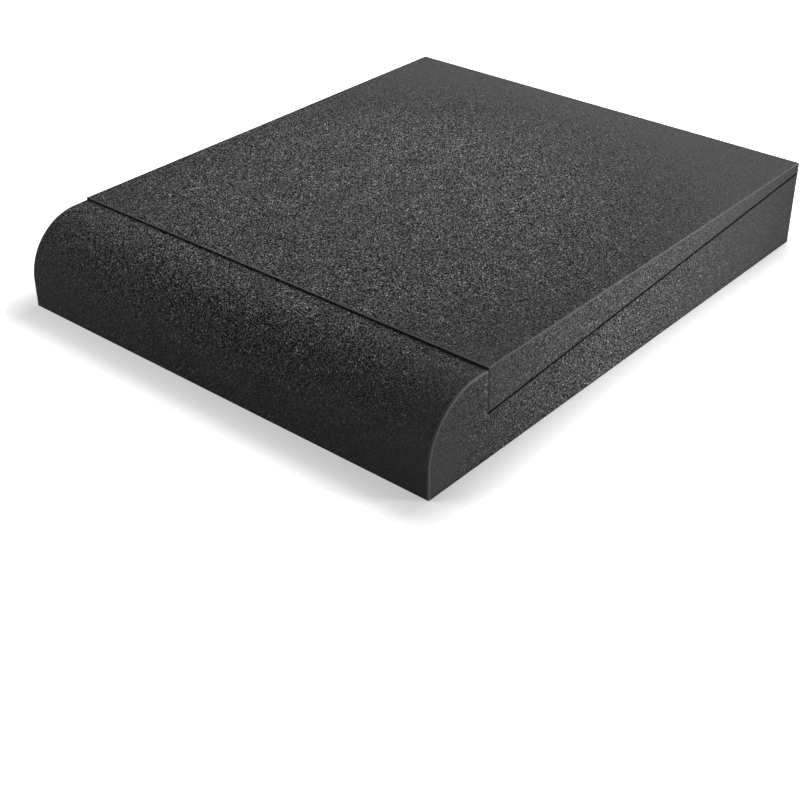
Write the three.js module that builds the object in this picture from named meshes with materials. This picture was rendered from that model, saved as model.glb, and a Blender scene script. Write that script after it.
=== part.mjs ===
// Speaker isolation pad: a round-nosed foam base with a loose tapered slab lying in it.
// Millimetres, +Z up. The origin is the middle of the underside, and the round nose faces -Y.
// Both pieces are knife-cut from flat foam, so each is one side profile run across the width.

import * as THREE from "three";

// Overall size
const padWidth = 250; // along X, side to side
const padDepth = 300; // along Y, nose to back
const padHeight = 45; // floor to the face that the speaker stands on

// Round nose along the front
const noseRadius = 30;
const noseFlat = 7.5; // level strip between the round and the step
const noseDrop = 1.2; // how far the nose's top lies below the speaker's face

// Tapered slab that lies behind the nose
const wedgeFrontThickness = 22;
const wedgeBackThickness = 5.2;

// Fit and edges
const seatClearance = 0.3; // air between the slab and the cut that it lies in
const edgeRadius = 0.6; // how much a cut edge is eased

// Fineness of the arcs
const arcStep = 1.6; // longest straight run along a round
const fewestArcSteps = 3;

const foamColour = 0x3d3d3e;
const foamRoughness = 0.97;

// Places along Y and heights along Z that the two pieces share
const frontY = -padDepth / 2;
const backY = padDepth / 2;
const noseTop = padHeight - noseDrop;
const stepY = frontY + noseRadius + noseFlat;
const wedgeFrontY = stepY + seatClearance;
const noseRound = Math.min(noseRadius, noseTop - edgeRadius);

// Height of the slab's underside at a place along Y, straight from its front edge to its back edge
function wedgeUnderside(y) {
  const share = (y - wedgeFrontY) / (backY - wedgeFrontY);
  return padHeight - THREE.MathUtils.lerp(wedgeFrontThickness, wedgeBackThickness, share);
}

// Points of the arc of a given radius that rounds the corner between two neighbouring corners
function roundedCorner(corner, before, after, radius) {
  if (radius === 0) return [corner.clone()];
  const toBefore = before.clone().sub(corner).normalize();
  const toAfter = after.clone().sub(corner).normalize();
  const halfAngle = toBefore.angleTo(toAfter) / 2;
  const bisector = toBefore.clone().add(toAfter).normalize();
  const centre = corner.clone().addScaledVector(bisector, radius / Math.sin(halfAngle));
  const reach = radius / Math.tan(halfAngle);
  const start = corner.clone().addScaledVector(toBefore, reach).sub(centre);
  const turn = (Math.PI - 2 * halfAngle) * Math.sign(toBefore.cross(toAfter)) * -1;
  const steps = Math.max(fewestArcSteps, Math.ceil((radius * Math.abs(turn)) / arcStep));
  const origin = new THREE.Vector2(0, 0);
  return Array.from({ length: steps + 1 }, (_, i) =>
    start.clone().rotateAround(origin, (turn * i) / steps).add(centre),
  );
}

// Closed side profile through corners given as [y, z, radius], counter-clockwise
function sideProfile(corners) {
  const places = corners.map(([y, z]) => new THREE.Vector2(y, z));
  const points = corners.flatMap(([, , radius], i) =>
    roundedCorner(places[i], places.at(i - 1), places[(i + 1) % places.length], radius),
  );
  return new THREE.Shape(points);
}

// A profile in the YZ plane run across the pad's width, with its two end faces eased at the rim.
// The rim is eased by half the edge radius, so that the profile's small arcs keep a radius there.
function acrossTheWidth(profile) {
  const rimEase = edgeRadius / 2;
  const geometry = new THREE.ExtrudeGeometry(profile, {
    depth: padWidth - 2 * rimEase,
    bevelThickness: rimEase,
    bevelSize: rimEase,
    bevelOffset: -rimEase,
    bevelSegments: 2,
  });
  geometry.translate(0, 0, rimEase - padWidth / 2);
  // The profile's own x, y and the run's z become Y, Z and X
  geometry.rotateX(Math.PI / 2);
  geometry.rotateZ(Math.PI / 2);
  return geometry;
}

// Base: round nose, step and rising bed in one block
function padBase() {
  const bedFront = wedgeUnderside(stepY) - seatClearance;
  const bedBack = wedgeUnderside(backY) - seatClearance;
  return acrossTheWidth(
    sideProfile([
      [frontY, 0, edgeRadius],
      [backY, 0, edgeRadius],
      [backY, bedBack, edgeRadius],
      [stepY, bedFront, 0],
      [stepY, noseTop, edgeRadius],
      [frontY, noseTop, noseRound],
    ]),
  );
}

// Slab: level on top, tapered underneath to match the bed
function wedgeInsert() {
  return acrossTheWidth(
    sideProfile([
      [wedgeFrontY, wedgeUnderside(wedgeFrontY), edgeRadius],
      [backY, wedgeUnderside(backY), edgeRadius],
      [backY, padHeight, edgeRadius],
      [wedgeFrontY, padHeight, edgeRadius],
    ]),
  );
}

function foamPiece(name, geometry) {
  const foam = new THREE.MeshStandardMaterial({
    color: foamColour,
    roughness: foamRoughness,
    metalness: 0,
  });
  const piece = new THREE.Mesh(geometry, foam);
  piece.name = name;
  return piece;
}

const group = new THREE.Group();
group.add(foamPiece("pad_base", padBase()));
group.add(foamPiece("wedge_insert", wedgeInsert()));

export default group;
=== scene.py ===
"""Looks of a speaker isolation pad: a round-nosed base and a loose tapered slab, cut from charcoal
open-cell foam. Metres, +Z up, the nose faces -Y. The frame holds the sizes that the pieces follow."""

import math

import bpy
import numpy as np
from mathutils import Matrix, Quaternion, Vector, geometry, noise


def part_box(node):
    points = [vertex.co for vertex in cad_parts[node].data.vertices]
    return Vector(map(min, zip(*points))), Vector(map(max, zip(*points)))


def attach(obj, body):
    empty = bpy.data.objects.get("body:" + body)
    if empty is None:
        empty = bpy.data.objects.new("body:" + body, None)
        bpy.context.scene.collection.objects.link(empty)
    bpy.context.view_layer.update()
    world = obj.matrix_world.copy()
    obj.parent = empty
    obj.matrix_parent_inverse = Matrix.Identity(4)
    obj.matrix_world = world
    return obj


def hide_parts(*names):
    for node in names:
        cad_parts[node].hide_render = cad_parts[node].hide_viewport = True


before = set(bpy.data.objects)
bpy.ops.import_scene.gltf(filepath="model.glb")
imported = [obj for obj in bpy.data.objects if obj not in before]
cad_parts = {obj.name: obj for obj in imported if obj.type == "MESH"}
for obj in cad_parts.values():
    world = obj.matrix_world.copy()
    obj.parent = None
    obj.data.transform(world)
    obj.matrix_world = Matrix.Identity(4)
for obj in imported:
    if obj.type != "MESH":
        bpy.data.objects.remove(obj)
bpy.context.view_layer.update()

MM = 0.001

# Sizes read from the frame
base_low, base_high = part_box("pad_base")
slab_low, slab_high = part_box("wedge_insert")
HALF_WIDTH = base_high.x
FRONT, BACK = base_low.y, base_high.y
NOSE_TOP = base_high.z
SLAB_FRONT, SLAB_TOP = slab_low.y, slab_high.z
SLAB_FRONT_UNDERSIDE = slab_low.z

# Sizes that the boxes do not give
NOSE_RADIUS = 30 * MM
SLAB_BACK_THICKNESS = 5.2 * MM
SEAT_CLEARANCE = 0.3 * MM
CORNER_EASE = 0.7 * MM  # radius of the open edges that run across the width
JOINT_EASE = 0.4 * MM  # radius of the slab's top edge at the joint behind the nose
SEAT_EASE = 0.2 * MM  # radius of the edges that lie in the joint between the pieces
RIM_EASE = 0.6 * MM  # radius of the open edges round the two end faces
SEAT_RIM_EASE = 0.04 * MM  # radius of the end faces' edges along the joint and the underside
TIGHTEST_RIM = 0.75  # most that a rim is eased at a corner, as a share of the corner's radius
SEAT_SINK = 0.14 * MM  # how far the cells stand back from the cut on each side of the slit
JOINT_SPREAD = 0.14 * MM  # how far each piece's foam spreads into the gap behind the nose
EASE_STEPS = 4

# Fineness of the meshes
CELL = 1.7 * MM  # longest mesh edge on a flat face
INNER_GAP = 0.7 * CELL  # nearest that an inner point of an end face lies to its outline
WELD = 1e-9  # points closer than this are one
FARTHEST = 20 * MM  # distances stored on the meshes stop here

# How far the knife wandered, always into the foam
FINE_WAVE, FINE_DEPTH = 3.2 * MM, 0.10 * MM
BROAD_WAVE, BROAD_DEPTH = 70 * MM, 0.15 * MM
SEATED_WANDER = 0.2  # share of that on the faces that lie against each other or on the desk

# Faces that lie open to the air. The others lie against the other piece or on the desk
OPEN_FACES = {"back", "nose top", "nose front", "top"}

# Foam, the same for both pieces. Levels of colour go from 0, black, to 1, white
CELL_SIZE = 0.76 * MM
CELL_WAVER = 0.35  # how far rows of cells are bent, as a share of a cell
CELL_DISORDER = 0.7  # 0 is a regular grid of cells, 1 is a random one
PIT_LEVEL, STRUT_LEVEL = 0.004, 0.68
DULLEST_STRUT = 0.4  # share of light on the dullest strut against the brightest
GLINT_SIZE = 0.9 * MM
GLINT_SHARE = 0.05  # share of the cell walls that may glint
GLINT_LEVEL = 0.6
PATCH_SIZE = 14 * MM
LEAST_PATCHY = 0.7  # share of the grain that is left where the mottle is weakest
LEAST_COARSE = 0.15  # the same at the far ends of the block
LEAST_CLEAN = 0.4  # the same low on the nose
COARSE_MIDDLE = (-15 * MM, -30 * MM, 0.0)
SMEAR_FULL_BEHIND, SMEAR_GONE_BEHIND = 10 * MM, 35 * MM  # how far back from the nose's front
SMEAR_FULL_UP, SMEAR_GONE_UP = 12 * MM, 50 * MM  # how far up from the desk
CELL_TURN = (0.3, 0.5, 0.6)  # radians, so that the cells do not line up with the cuts
# colour of the painted shade in the slit and in the joint behind the nose
SHADE_LEVEL = 0.006
SLIT_FULL_TO, SLIT_GONE_AT = 0.12, 0.5  # millimetres from the slit that its shade fades between
STEP_FULL_TO, STEP_GONE_AT = 0.1, 0.3  # the same for the joint behind the nose
SHADE_SHARE = 0.8  # most that the slit's and the joint's shade covers the foam
PAINTED_HIGHLIGHT_SHARE = 0.7  # most that the painted highlight on the open edges covers the grain
PAINTED_HIGHLIGHT_FULL_TO = 0.2  # the painted highlight is at its full to here, as a share of its width
BUMP_HEIGHT, BUMP_STRENGTH = 0.3 * MM, 0.4
FOAM_ROUGHNESS, FOAM_SPECULAR = 0.92, 0.05

# Foam of each piece. shift moves the cells, so that the pieces do not share them. contrast is how
# strongly the cells show, and even is the level that they blend to as they grow finer, which they do
# between coarse_to and fine_from away from the coarse middle. An open edge has a painted highlight,
# up to painted_highlight_level, to painted_highlight_to millimetres away
BASE_FOAM = {
    "shift": (0.0, 0.0, 0.0),
    "contrast": 1.05,
    "even": 0.073,
    "coarse_to": 90 * MM,
    "fine_from": 205 * MM,
    "painted_highlight_to": 1.5,
    "painted_highlight_level": 0.2,
}
SLAB_FOAM = {
    "shift": (0.31, 0.17, 0.23),
    "contrast": 1.05,
    "even": 0.078,
    "coarse_to": 75 * MM,
    "fine_from": 190 * MM,
    "painted_highlight_to": 1.0,
    "painted_highlight_level": 0.14,
}

# Floor
FLOOR_HALF_SIDE = 4.0
FLOOR_SEEN = 0.9  # colour of the floor to the camera
FLOOR_BOUNCE = 0.4  # colour of the floor to the light that it throws back
SHADOW_GLOW = 0.33  # the floor's glow at the pad's foot, where 1 is white: a painted shadow, added to the lamps' own
SHADOW_REACH = 45 * MM  # how far from the pad the painted shadow reaches

# Light and camera
WORLD_STRENGTH = 0.03
LENS, SENSOR_WIDTH = 65.24, 36.0
CAMERA_PLACE = (0.4187, -0.5091, 0.3491)
CAMERA_AZIMUTH, CAMERA_ELEVATION, CAMERA_ROLL = 40.65, 32.95, -0.37  # degrees


# Outlines of the two pieces, seen from the right-hand side


def slab_underside(y):
    """Height of the slab's underside at a place along the depth."""
    share = (y - SLAB_FRONT) / (BACK - SLAB_FRONT)
    back_underside = SLAB_TOP - SLAB_BACK_THICKNESS
    return SLAB_FRONT_UNDERSIDE + share * (back_underside - SLAB_FRONT_UNDERSIDE)


def base_corners():
    """Corners of the base as (y, z, radius, name of the face that runs on to the next corner)."""
    step = SLAB_FRONT - SEAT_CLEARANCE + JOINT_SPREAD
    sunk = SEAT_CLEARANCE + SEAT_SINK
    return [
        (FRONT, 0.0, SEAT_EASE, "underside"),
        (BACK, 0.0, SEAT_EASE, "back"),
        (BACK, slab_underside(BACK) - sunk, SEAT_EASE, "bed"),
        (step, slab_underside(step) - sunk, 0.0, "step"),
        (step, NOSE_TOP, SEAT_EASE, "nose top"),
        (FRONT, NOSE_TOP, NOSE_RADIUS, "nose front"),
    ]


def slab_corners():
    """Corners of the tapered slab, given as the base's are."""
    front = SLAB_FRONT - JOINT_SPREAD
    return [
        (front, SLAB_FRONT_UNDERSIDE + SEAT_SINK, SEAT_EASE, "bed"),
        (BACK, slab_underside(BACK) + SEAT_SINK, SEAT_EASE, "back"),
        (BACK, SLAB_TOP, CORNER_EASE, "top"),
        (front, SLAB_TOP, JOINT_EASE, "step"),
    ]


def rounded_corner(corner, before, after, radius):
    """Points of the arc that rounds one corner, or the bare corner where the radius is none."""
    if radius == 0.0:
        return [corner]
    to_before = (before - corner).normalized()
    to_after = (after - corner).normalized()
    half_angle = to_before.angle(to_after) / 2
    centre = corner + (to_before + to_after).normalized() * (radius / math.sin(half_angle))
    start = corner + to_before * (radius / math.tan(half_angle)) - centre
    turn = math.pi - 2 * half_angle
    steps = max(EASE_STEPS, math.ceil(radius * turn / CELL))
    first = math.atan2(start.y, start.x)
    angles = [first + turn * i / steps for i in range(steps + 1)]
    return [centre + Vector((math.cos(a), math.sin(a))) * radius for a in angles]


def outline(corners):
    """Closed counter-clockwise loop through the corners, with long runs split into short ones.
    Returns its points, the face that each lies on, and how far each may be drawn in at the rim."""
    places = [Vector((y, z)) for y, z, _, _ in corners]
    turns = []
    for i, (_, _, radius, face) in enumerate(corners):
        arc = rounded_corner(places[i], places[i - 1], places[(i + 1) % len(places)], radius)
        before = corners[i - 1][3]
        on_arc = before if before in OPEN_FACES else face
        most = TIGHTEST_RIM * radius if radius else RIM_EASE
        turns += [(point, on_arc, most) for point in arc[:-1]] + [(arc[-1], face, most)]
    loop, faces, limits = [], [], []
    for i, (here, face, most) in enumerate(turns):
        there = turns[(i + 1) % len(turns)][0]
        steps = max(1, math.ceil((there - here).length / CELL))
        loop += [here.lerp(there, n / steps) for n in range(steps)]
        faces += [face] * steps
        limits += [most] + [RIM_EASE] * (steps - 1)
    return np.array([tuple(p) for p in loop]), faces, np.array(limits)


# Meshes


def inward(loop):
    """Unit directions that point into a counter-clockwise loop at each of its points."""
    along = np.roll(loop, -1, axis=0) - np.roll(loop, 1, axis=0)
    direction = np.stack([-along[:, 1], along[:, 0]], axis=1)
    return direction / np.linalg.norm(direction, axis=1, keepdims=True)


def distance_to_runs(points, starts, ends):
    """Shortest distance from each point to a set of straight runs, no more than FARTHEST."""
    nearest = np.full(len(points), FARTHEST)
    for start, along in zip(starts, ends - starts):
        share = np.clip(((points - start) @ along) / (along @ along), 0, 1)
        gap = np.linalg.norm(points - (start + share[:, None] * along), axis=1)
        nearest = np.minimum(nearest, gap)
    return nearest


def runs_on(loop, names, wanted):
    """Straight runs of the loop that lie on the faces wanted."""
    chosen = np.array([name in wanted for name in names])
    return loop[chosen], np.roll(loop, -1, axis=0)[chosen]


def end_face(loop):
    """Triangles that fill a loop, with inner points on a staggered grid, numbered after the loop's."""
    low, high = loop.min(axis=0), loop.max(axis=0)
    rows = np.arange(low[1] + CELL / 2, high[1], CELL * math.sqrt(3) / 2)
    grid = np.array(
        [
            (y, z)
            for i, z in enumerate(rows)
            for y in np.arange(low[0] + CELL * (i % 2) / 2, high[0], CELL)
        ]
    )
    grid = grid[distance_to_runs(grid, loop, np.roll(loop, -1, axis=0)) > INNER_GAP]
    points = [Vector(p) for p in np.concatenate([loop, grid])]
    ring = [(i, (i + 1) % len(loop)) for i in range(len(loop))]
    inside_only = 1
    _, _, faces, origins, _, _ = geometry.delaunay_2d_cdt(points, ring, [], inside_only, WELD)
    number = [o[0] for o in origins]
    used = sorted({number[i] for face in faces for i in face if number[i] >= len(loop)})
    inner = {old: len(loop) + new for new, old in enumerate(used)}
    triangles = [[inner.get(number[i], number[i]) for i in face] for face in faces]
    return np.array([tuple(points[i]) for i in used]), triangles


def stations():
    """Places across the width with the share of its rim ease that the outline is drawn in by there."""
    rim = []
    for i in range(EASE_STEPS + 1):
        angle = math.pi / 2 * i / EASE_STEPS
        rim.append((HALF_WIDTH - RIM_EASE * (1 - math.sin(angle)), 1 - math.cos(angle)))
    steps = math.ceil(2 * (HALF_WIDTH - RIM_EASE) / CELL)
    middle = np.linspace(-(HALF_WIDTH - RIM_EASE), HALF_WIDTH - RIM_EASE, steps + 1)[1:-1]
    left = [(-x, share) for x, share in reversed(rim)]
    return left + [(x, 0.0) for x in middle] + rim


def knife_cut(points, normals, freedom):
    """Points moved a little into the foam, as a knife leaves them: a fine waver over a broad one.
    freedom is the share of the full wander at each point."""
    moved = points.copy()
    for i, (point, normal, free) in enumerate(zip(points, normals, freedom)):
        fine = 0.5 + 0.5 * noise.noise(Vector(point) / FINE_WAVE)
        broad = 0.5 + 0.5 * noise.noise(Vector(point) / BROAD_WAVE)
        depth = FINE_DEPTH * min(1.0, max(0.0, fine)) + BROAD_DEPTH * min(1.0, max(0.0, broad))
        moved[i] = point - normal * depth * free
    return moved


def block_faces(row_count, count, triangles, inner_count):
    """Faces of a block of rows of outline points, count in each, with an end face at its first and last
    row. The end faces' inner points are numbered after all the rows', first the left ones."""
    faces = []
    for row in range(row_count - 1):
        for i in range(count):
            j = (i + 1) % count
            here, there = row * count, (row + 1) * count
            faces.append((here + i, here + j, there + j, there + i))
    last_row = (row_count - 1) * count
    left_inner = last_row
    right_inner = last_row + inner_count
    for corners in triangles:
        left = [i if i < count else left_inner + i for i in corners]
        right = [last_row + i if i < count else right_inner + i for i in corners]
        faces.append(tuple(reversed(left)))
        faces.append(tuple(right))
    return faces


def store_distances(mesh, points, wall_count, loop, names, lit_corners):
    """Keeps each point's distance from the open edges, the slit and the joint behind the nose. The first
    wall_count points are the walls', and the rest lie inside the end faces."""
    across = points[:, 1:]
    from_rim = distance_to_runs(across, *runs_on(loop, names, OPEN_FACES))
    from_open_edge = np.hypot(HALF_WIDTH - np.abs(points[:, 0]), from_rim)
    for corner in lit_corners:
        from_corner = np.linalg.norm(across - np.array(corner), axis=1)
        from_open_edge = np.minimum(from_open_edge, from_corner)
    store(mesh, "from_open_edge", from_open_edge)
    store(mesh, "from_slit", distance_to_runs(across, *runs_on(loop, names, {"bed"})))
    from_step = distance_to_runs(across, *runs_on(loop, names, {"step"}))
    from_step[wall_count:] = FARTHEST  # the joint's painted shade is left off the end faces, so the joint stays faint there
    store(mesh, "from_step", from_step)


def foam_block(name, corners, lit_corners):
    """A foam piece: its outline run across the width, closed by end faces, with eased, uneven edges.
    lit_corners are the (y, z) of the edges across the width that catch the light."""
    loop, names, limits = outline(corners)
    ease = np.array([RIM_EASE if face in OPEN_FACES else SEAT_RIM_EASE for face in names])
    ease = np.minimum(ease, limits)[:, None]
    towards_inside = inward(loop)
    rows = stations()
    count = len(loop)
    walls = [
        np.column_stack([np.full(count, x), loop + towards_inside * ease * share]) for x, share in rows
    ]
    inner, triangles = end_face(loop + towards_inside * ease)
    ends = [np.column_stack([np.full(len(inner), x), inner]) for x in (-HALF_WIDTH, HALF_WIDTH)]
    points = np.concatenate(walls + ends)

    mesh = bpy.data.meshes.new(name)
    mesh.from_pydata(points, [], block_faces(len(rows), count, triangles, len(inner)))
    mesh.update()
    normals = np.zeros(len(points) * 3)
    mesh.vertices.foreach_get("normal", normals)
    wander = [1.0 if face in OPEN_FACES else SEATED_WANDER for face in names]
    freedom = wander * len(rows) + [1.0] * (2 * len(inner))
    cut = knife_cut(points, normals.reshape(-1, 3), freedom)
    mesh.vertices.foreach_set("co", cut.ravel())
    store_distances(mesh, points, len(rows) * count, loop, names, lit_corners)
    mesh.shade_smooth()
    mesh.update()
    piece = bpy.data.objects.new(name, mesh)
    bpy.context.scene.collection.objects.link(piece)
    return piece


def store(mesh, name, distances):
    """Keeps a distance at each point of the mesh for its material, in millimetres."""
    layer = mesh.attributes.new(name, "FLOAT", "POINT")
    layer.data.foreach_set("value", (distances / MM).astype(np.float32))


# Shader groups


class Graph:
    """A node tree built line by line: each call adds a node, feeds its inputs and returns it."""

    def __init__(self, tree):
        self.tree = tree

    def feed(self, socket, value):
        if isinstance(value, bpy.types.NodeSocket):
            self.tree.links.new(value, socket)
        elif isinstance(value, bpy.types.Node):
            self.tree.links.new(value.outputs[0], socket)
        else:
            socket.default_value = value

    def add(self, kind, inputs=None, **settings):
        node = self.tree.nodes.new(kind)
        for setting, value in settings.items():
            setattr(node, setting, value)
        for socket, value in (inputs or {}).items():
            self.feed(node.inputs[socket], value)
        return node

    def math(self, operation, *values, clamp=False):
        numbered = dict(enumerate(values))
        return self.add("ShaderNodeMath", numbered, operation=operation, use_clamp=clamp)

    def vector(self, operation, *values):
        node = self.add("ShaderNodeVectorMath", operation=operation)
        for i, value in enumerate(values):
            self.feed(node.inputs[i], value)
        return node

    def scaled(self, position, scale):
        node = self.add("ShaderNodeVectorMath", {0: position}, operation="SCALE")
        self.feed(node.inputs["Scale"], scale)
        return node

    def remap(self, value, low, high, to_low=0.0, to_high=1.0, shape="LINEAR"):
        places = {"Value": value, "From Min": low, "From Max": high, "To Min": to_low, "To Max": to_high}
        return self.add("ShaderNodeMapRange", places, interpolation_type=shape)

    def mix_colour(self, share, first, second):
        node = self.add("ShaderNodeMix", data_type="RGBA")
        self.feed(node.inputs["Factor"], share)
        self.feed(node.inputs[6], first)
        self.feed(node.inputs[7], second)
        return node.outputs[2]


def new_group(name, inputs, outputs):
    """An empty shader group with named sockets; returns the group, its graph and its two end nodes."""
    group = bpy.data.node_groups.new(name, "ShaderNodeTree")
    for socket, kind, value in inputs:
        made = group.interface.new_socket(socket, in_out="INPUT", socket_type=kind)
        if value is not None:
            made.default_value = value
    for socket, kind in outputs:
        group.interface.new_socket(socket, in_out="OUTPUT", socket_type=kind)
    graph = Graph(group)
    return group, graph, graph.add("NodeGroupInput"), graph.add("NodeGroupOutput")


def grey(level):
    """A neutral colour."""
    return (level, level, level, 1)


FLOAT, VECTOR = "NodeSocketFloat", "NodeSocketVector"


def open_cells_group():
    """Foam cells laid open by the knife: pale strut ends over dark pits, each with a tone of its own."""
    group, graph, given, made = new_group(
        "Open cells",
        [("Position", VECTOR, None), ("Cell size", FLOAT, CELL_SIZE), ("Waver", FLOAT, CELL_WAVER)],
        [("Strut", FLOAT), ("Tone", FLOAT)],
    )
    per_metre = graph.math("DIVIDE", 1.0, given.outputs["Cell size"])
    cells = graph.scaled(given.outputs["Position"], per_metre)
    waves_per_cell = 0.8
    waver = graph.add("ShaderNodeTexNoise", {"Vector": cells, "Scale": waves_per_cell, "Detail": 1.0})
    noise_middle = (0.5, 0.5, 0.5)
    centred = graph.vector("SUBTRACT", waver.outputs["Color"], noise_middle)
    bent = graph.vector("ADD", cells, graph.scaled(centred, given.outputs["Waver"]))
    scattered = {"Vector": bent, "Scale": 1.0, "Randomness": CELL_DISORDER}
    nearest = graph.add("ShaderNodeTexVoronoi", scattered, feature="F1")
    pale_to, dark_from = 0.05, 0.55  # distances from a strut's middle, in cells
    strut = graph.remap(nearest.outputs["Distance"], pale_to, dark_from, 1.0, 0.0, "SMOOTHSTEP")
    tone = graph.add("ShaderNodeSeparateColor", {0: nearest.outputs["Color"]})
    graph.feed(made.inputs["Strut"], strut)
    graph.feed(made.inputs["Tone"], tone)
    return group


def grain_group():
    """Grain from pit to strut, drawn towards an even level as its share falls. The mixing keeps dark
    and pale in step to the eye, so the pits stay dark."""
    group, graph, given, made = new_group(
        "Softened grain",
        [
            ("Lit", FLOAT, None),
            ("Pit", FLOAT, PIT_LEVEL),
            ("Strut", FLOAT, STRUT_LEVEL),
            ("Even", FLOAT, BASE_FOAM["even"]),
            ("Share", FLOAT, 1.0),
        ],
        [("Level", FLOAT)],
    )
    outputs = given.outputs
    level = graph.remap(outputs["Lit"], 0.0, 1.0, outputs["Pit"], outputs["Strut"])
    contrast = graph.math("POWER", graph.math("DIVIDE", level, outputs["Even"]), outputs["Share"])
    graph.feed(made.inputs["Level"], graph.math("MULTIPLY", contrast, outputs["Even"]))
    return group


def glints_group():
    """Rare bright specks where a cell wall happens to face the light."""
    group, graph, given, made = new_group(
        "Wall glints",
        [("Position", VECTOR, None), ("Speck size", FLOAT, GLINT_SIZE), ("Share", FLOAT, GLINT_SHARE)],
        [("Glint", FLOAT)],
    )
    per_metre = graph.math("DIVIDE", 1.0, given.outputs["Speck size"])
    specks = graph.scaled(given.outputs["Position"], per_metre)
    voronoi = graph.add("ShaderNodeTexVoronoi", {"Vector": specks, "Scale": 1.0}, feature="F1")
    chance = graph.add("ShaderNodeSeparateColor", {0: voronoi.outputs["Color"]}).outputs["Green"]
    bound = graph.math("SUBTRACT", 1.0, given.outputs["Share"])
    chosen = graph.math("GREATER_THAN", chance, bound)
    bright_to, gone_at = 0.2, 0.6  # distances from a speck's middle, in specks
    core = graph.remap(voronoi.outputs["Distance"], bright_to, gone_at, 1.0, 0.0, "SMOOTHSTEP")
    graph.feed(made.inputs["Glint"], graph.math("MULTIPLY", chosen, core))
    return group


def mottle_group():
    """Slow change over the block between 0 and 1, from uneven cell growth."""
    group, graph, given, made = new_group(
        "Slow mottle",
        [("Position", VECTOR, None), ("Patch size", FLOAT, PATCH_SIZE)],
        [("Amount", FLOAT)],
    )
    per_metre = graph.math("DIVIDE", 1.0, given.outputs["Patch size"])
    patches = graph.scaled(given.outputs["Position"], per_metre)
    cloud = graph.add("ShaderNodeTexNoise", {"Vector": patches, "Scale": 1.0, "Detail": 2.0})
    least, most = 0.25, 0.75  # where nearly all of the noise lies
    graph.feed(made.inputs["Amount"], graph.remap(cloud.outputs[0], least, most))
    return group


def finer_ends_group():
    """Cells grow finer towards the ends of the block: 1 round its coarse middle, 0 at the far ends."""
    group, graph, given, made = new_group(
        "Finer towards the ends",
        [
            ("Position", VECTOR, None),
            ("Coarse middle", VECTOR, None),
            ("Coarse to", FLOAT, BASE_FOAM["coarse_to"]),
            ("Fine from", FLOAT, BASE_FOAM["fine_from"]),
        ],
        [("Coarse", FLOAT)],
    )
    outputs = given.outputs
    level = graph.vector("MULTIPLY", outputs["Position"], (1.0, 1.0, 0.0))
    away = graph.vector("DISTANCE", level, outputs["Coarse middle"]).outputs["Value"]
    share = graph.remap(away, outputs["Coarse to"], outputs["Fine from"], 1.0, 0.0, "SMOOTHSTEP")
    graph.feed(made.inputs["Coarse"], share)
    return group


def smeared_nose_group():
    """The blade that rounds the nose smears its cells: 1 low on its front, 0 at its top and behind."""
    group, graph, given, made = new_group(
        "Smeared nose",
        [("Position", VECTOR, None)],
        [("Smeared", FLOAT)],
    )
    place = graph.add("ShaderNodeSeparateXYZ", {0: given.outputs["Position"]}).outputs
    full_y, gone_y = FRONT + SMEAR_FULL_BEHIND, FRONT + SMEAR_GONE_BEHIND
    front = graph.remap(place["Y"], full_y, gone_y, 1.0, 0.0, "SMOOTHSTEP")
    low = graph.remap(place["Z"], SMEAR_FULL_UP, SMEAR_GONE_UP, 1.0, 0.0, "SMOOTHSTEP")
    graph.feed(made.inputs["Smeared"], graph.math("MULTIPLY", front, low))
    return group


def near_line_group():
    """A band beside a line of the cut, from the distance in millimetres that the mesh stores."""
    group, graph, given, made = new_group(
        "Band beside a line",
        [("Distance", FLOAT, None), ("Full to", FLOAT, None), ("Gone at", FLOAT, None)],
        [("Band", FLOAT)],
    )
    full_to, gone_at = given.outputs["Full to"], given.outputs["Gone at"]
    fade = graph.remap(given.outputs["Distance"], full_to, gone_at, 1.0, 0.0, "SMOOTHSTEP")
    graph.feed(made.inputs["Band"], fade)
    return group


# Materials


def foam_grain(graph, groups, position, place, contrast, even, coarse_to, fine_from):
    """The foam's cells: how high and lit they are at each place, and their colour."""

    def placed(kind, values):
        return graph.add("ShaderNodeGroup", values, node_tree=groups[kind])

    cells = placed("cells", {"Position": position, "Cell size": CELL_SIZE, "Waver": CELL_WAVER})
    glints = placed("glints", {"Position": position, "Speck size": GLINT_SIZE, "Share": GLINT_SHARE})
    mottle = placed("mottle", {"Position": position, "Patch size": PATCH_SIZE})
    reach = {"Coarse middle": COARSE_MIDDLE, "Coarse to": coarse_to, "Fine from": fine_from}
    ends = placed("finer ends", {"Position": place, **reach})
    nose = placed("smeared nose", {"Position": place})

    tone = graph.remap(cells.outputs["Tone"], 0.0, 1.0, DULLEST_STRUT, 1.0)
    lit = graph.math("MULTIPLY", cells.outputs["Strut"], tone)
    patchy = graph.remap(mottle.outputs["Amount"], 0.0, 1.0, LEAST_PATCHY, 1.0)
    coarse = graph.remap(ends.outputs["Coarse"], 0.0, 1.0, LEAST_COARSE, 1.0)
    clean = graph.remap(nose.outputs["Smeared"], 0.0, 1.0, contrast, LEAST_CLEAN * contrast)
    share = graph.math("MULTIPLY", graph.math("MULTIPLY", patchy, coarse), clean)
    levels = {"Pit": PIT_LEVEL, "Strut": STRUT_LEVEL, "Even": even}
    grain = placed("grain", {"Lit": lit, "Share": share, **levels})
    glinting = graph.math("MULTIPLY", glints.outputs["Glint"], share)
    return lit, graph.mix_colour(glinting, grain, grey(GLINT_LEVEL))


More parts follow.
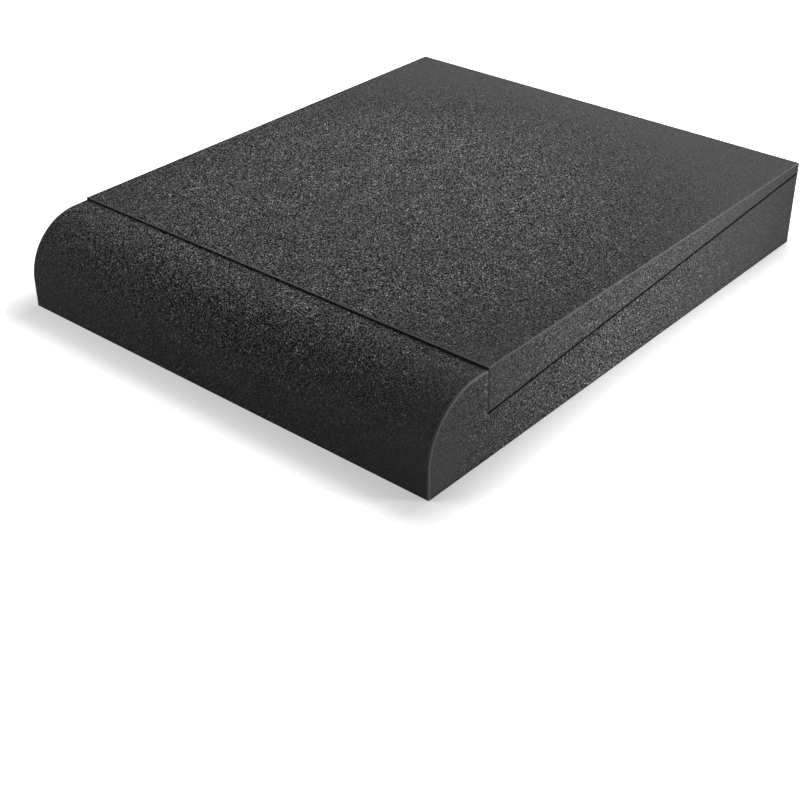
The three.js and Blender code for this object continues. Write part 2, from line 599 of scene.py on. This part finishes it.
def line_shades(graph, groups, foam, painted_highlight_to, painted_highlight_level):
    """The foam's colour with a painted highlight along the open edges, and painted shade in the slit and
    in the joint behind the nose.
    """

    def beside(line, full_to, gone_at, share):
        distance = graph.add("ShaderNodeAttribute", attribute_name=line).outputs["Fac"]
        values = {"Distance": distance, "Full to": full_to, "Gone at": gone_at}
        band = graph.add("ShaderNodeGroup", values, node_tree=groups["near line"])
        return graph.math("MULTIPLY", band, share)

    # painted highlight along the open edges
    painted_highlight = beside("from_open_edge", PAINTED_HIGHLIGHT_FULL_TO * painted_highlight_to, painted_highlight_to, PAINTED_HIGHLIGHT_SHARE)
    # painted shade in the joint behind the nose and in the slit
    step = beside("from_step", STEP_FULL_TO, STEP_GONE_AT, SHADE_SHARE)
    slit = beside("from_slit", SLIT_FULL_TO, SLIT_GONE_AT, SHADE_SHARE)
    banded = graph.mix_colour(painted_highlight, foam, grey(painted_highlight_level))
    stepped = graph.mix_colour(step, banded, grey(SHADE_LEVEL))
    return graph.mix_colour(slit, stepped, grey(SHADE_LEVEL))


def foam_material(name, groups, foam):
    """Charcoal open-cell foam of one piece: pale struts over dark pits, dry and matte."""
    material = bpy.data.materials.new(name)
    material.use_nodes = True
    material.node_tree.nodes.clear()
    graph = Graph(material.node_tree)
    place = graph.add("ShaderNodeTexCoord").outputs["Object"]
    turn = {"Vector": place, "Rotation": CELL_TURN}
    turned = graph.add("ShaderNodeVectorRotate", turn, rotation_type="EULER_XYZ")
    position = graph.vector("ADD", turned, foam["shift"]).outputs[0]
    reach = (foam["coarse_to"], foam["fine_from"])
    lit, grain = foam_grain(graph, groups, position, place, foam["contrast"], foam["even"], *reach)
    colour = line_shades(graph, groups, grain, foam["painted_highlight_to"], foam["painted_highlight_level"])

    relief = {"Height": lit, "Distance": BUMP_HEIGHT, "Strength": BUMP_STRENGTH}
    bump = graph.add("ShaderNodeBump", relief)
    surface = graph.add("ShaderNodeBsdfPrincipled")
    surface.inputs["Roughness"].default_value = FOAM_ROUGHNESS
    surface.inputs["Specular IOR Level"].default_value = FOAM_SPECULAR
    graph.feed(surface.inputs["Base Color"], colour)
    graph.feed(surface.inputs["Normal"], bump)
    output = graph.add("ShaderNodeOutputMaterial")
    graph.feed(output.inputs["Surface"], surface)
    return material


def floor_material():
    """White floor. The camera sees it plain white, but for the pad's own shadow and a painted shadow
    round the pad, where its glow is dimmer. The light that it throws back at the pad is that of a grey
    cloth."""
    material = bpy.data.materials.new("White studio floor")
    material.use_nodes = True
    material.node_tree.nodes.clear()
    graph = Graph(material.node_tree)
    seen = graph.add("ShaderNodeLightPath").outputs["Is Camera Ray"]
    place = graph.add("ShaderNodeTexCoord").outputs["Object"]
    past_sides = graph.vector("SUBTRACT", graph.vector("ABSOLUTE", place), (HALF_WIDTH, BACK, 0.0))
    outside = graph.vector("MAXIMUM", past_sides, (0.0, 0.0, 0.0))
    past_pad = graph.vector("LENGTH", outside).outputs["Value"]
    # painted shadow: the floor's glow is dimmed near the pad
    glow = graph.remap(past_pad, 0.0, SHADOW_REACH, SHADOW_GLOW, 1.0, "SMOOTHSTEP")
    colour = graph.mix_colour(seen, grey(FLOOR_BOUNCE), grey(FLOOR_SEEN))
    paint = graph.add("ShaderNodeBsdfDiffuse", {"Color": colour})
    light = graph.add("ShaderNodeEmission", {"Color": grey(1.0)})
    graph.feed(light.inputs["Strength"], graph.math("MULTIPLY", seen, glow))
    both = graph.add("ShaderNodeAddShader", {0: paint, 1: light})
    output = graph.add("ShaderNodeOutputMaterial")
    graph.feed(output.inputs["Surface"], both)
    return material


# Stage


def white_world():
    """Even pale light from all round, and plain white behind the pad."""
    world = bpy.data.worlds.new("White surround")
    world.use_nodes = True
    world.node_tree.nodes.clear()
    graph = Graph(world.node_tree)
    path = graph.add("ShaderNodeLightPath").outputs
    seen = graph.math("ADD", path["Is Camera Ray"], path["Is Glossy Ray"])
    seen = graph.math("ADD", seen, path["Is Transmission Ray"], clamp=True)
    level = graph.remap(seen, 0.0, 1.0, WORLD_STRENGTH, 1.0)
    light = graph.add("ShaderNodeBackground", {"Color": grey(1.0), "Strength": level})
    output = graph.add("ShaderNodeOutputWorld")
    graph.feed(output.inputs["Surface"], light)
    bpy.context.scene.world = world


def studio_floor():
    """A wide flat floor at the height that the pad stands on."""
    half = FLOOR_HALF_SIDE
    corners = [(-half, -half, 0), (half, -half, 0), (half, half, 0), (-half, half, 0)]
    mesh = bpy.data.meshes.new("studio_floor")
    mesh.from_pydata(corners, [], [(0, 1, 2, 3)])
    floor = bpy.data.objects.new("studio_floor", mesh)
    bpy.context.scene.collection.objects.link(floor)
    mesh.materials.append(floor_material())


def direction_to(azimuth, elevation):
    """Unit direction from the pad, in degrees. Azimuth 0 is in front of the nose, 90 right."""
    a, e = math.radians(azimuth), math.radians(elevation)
    return Vector((math.sin(a) * math.cos(e), -math.cos(a) * math.cos(e), math.sin(e)))


def soft_lamp(name, azimuth, elevation, distance, power, aim=(0.0, 0.0, 0.02), spread=0.7):
    """A square soft lamp that shines at a place on the pad from a direction and distance. spread is the
    lamp's side as a share of its distance."""
    back = direction_to(azimuth, elevation)
    data = bpy.data.lights.new(name, "AREA")
    data.energy = power
    data.size = spread * distance
    light = bpy.data.objects.new(name, data)
    light.location = Vector(aim) + back * distance
    light.rotation_mode = "QUATERNION"
    light.rotation_quaternion = (-back).to_track_quat("-Z", "Y")
    light.visible_camera = False
    bpy.context.scene.collection.objects.link(light)


def photo_camera():
    """The camera of the photograph, worked out from the pad's edges in it."""
    data = bpy.data.cameras.new("photo_camera")
    data.lens = LENS
    data.sensor_width = SENSOR_WIDTH
    camera = bpy.data.objects.new("photo_camera", data)
    camera.location = CAMERA_PLACE
    camera.rotation_mode = "QUATERNION"
    back = direction_to(CAMERA_AZIMUTH, CAMERA_ELEVATION)
    level = (-back).to_track_quat("-Z", "Y")
    camera.rotation_quaternion = Quaternion(back, math.radians(CAMERA_ROLL)) @ level
    bpy.context.scene.collection.objects.link(camera)
    bpy.context.scene.camera = camera


def dress(piece, node, material):
    """Gives a foam piece its material and ties it to the solid that it stands for."""
    piece.data.materials.append(material)
    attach(piece, "root")
    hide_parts(node)


bpy.context.scene.view_settings.view_transform = "Standard"
photo_camera()
studio_floor()
white_world()
soft_lamp("back lamp", azimuth=180, elevation=55, distance=0.5, power=2.6)
right_side = (0.12, 0.02, 0.02)
soft_lamp("right lamp", 90, elevation=8, distance=0.22, power=0.7, aim=right_side, spread=0.4)
soft_lamp("left fill", azimuth=315, elevation=32, distance=1.0, power=4.0)

foam_groups = {
    "cells": open_cells_group(),
    "grain": grain_group(),
    "glints": glints_group(),
    "mottle": mottle_group(),
    "finer ends": finer_ends_group(),
    "smeared nose": smeared_nose_group(),
    "near line": near_line_group(),
}
base = foam_block("foam_base", base_corners(), [])
slab = foam_block("foam_slab", slab_corners(), [(SLAB_FRONT, SLAB_TOP), (BACK, SLAB_TOP)])
base_foam = foam_material("Charcoal foam, base", foam_groups, BASE_FOAM)
slab_foam = foam_material("Charcoal foam, slab", foam_groups, SLAB_FOAM)
dress(base, "pad_base", base_foam)
dress(slab, "wedge_insert", slab_foam)
